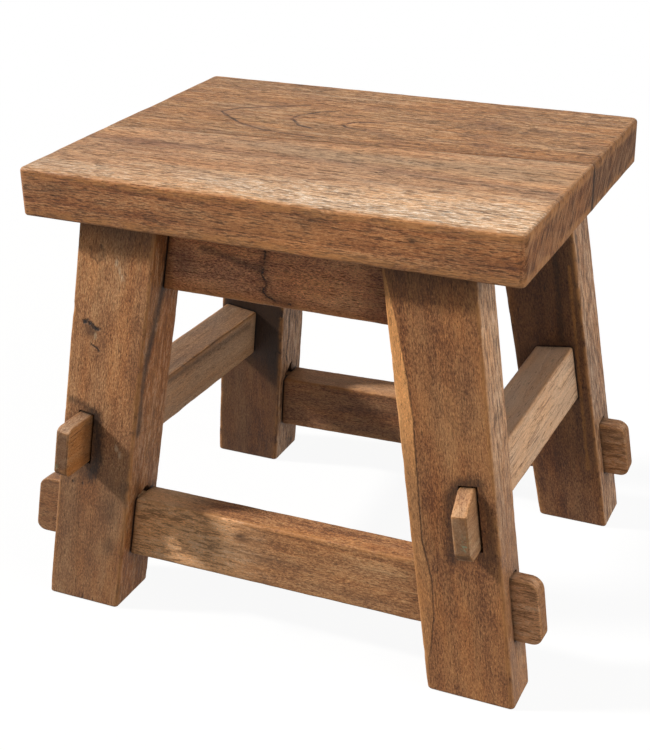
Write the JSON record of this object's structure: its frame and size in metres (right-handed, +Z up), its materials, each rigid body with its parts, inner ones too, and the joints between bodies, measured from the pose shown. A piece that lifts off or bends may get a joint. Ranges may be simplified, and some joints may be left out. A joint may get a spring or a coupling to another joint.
{
  "type": "wooden stool",
  "caption": "Low solid-wood stool with a thick rectangular plank seat, legs splayed both ways, and aprons and stretchers joined by tenons that stand out of the legs.",
  "frame": {"origin": "on the floor, in the middle of the whole footprint with its tenon ends", "axes": "+X along the long side of the seat, -Y to the front, +Z up"},
  "size_m": [0.4516, 0.3604, 0.377],
  "materials": {
    "seat_wood": "satin, waxed and worn",
    "leg_wood": "satin, waxed and worn",
    "rail_wood": "satin, waxed and worn",
    "pin_wood": "satin, waxed and worn"
  },
  "bodies": {
    "root": {"seat_board_front": "seat_wood", "seat_board_rear": "seat_wood", "seat_joint_pins": "pin_wood", "seat_leg_pins": "pin_wood", "leg_front_left": "leg_wood", "leg_front_right": "leg_wood", "leg_rear_left": "leg_wood", "leg_rear_right": "leg_wood", "apron_front": "rail_wood", "apron_rear": "rail_wood", "stretcher_front": "rail_wood", "stretcher_rear": "rail_wood", "stretcher_left": "rail_wood", "stretcher_right": "rail_wood"}
  },
  "joints": []
}
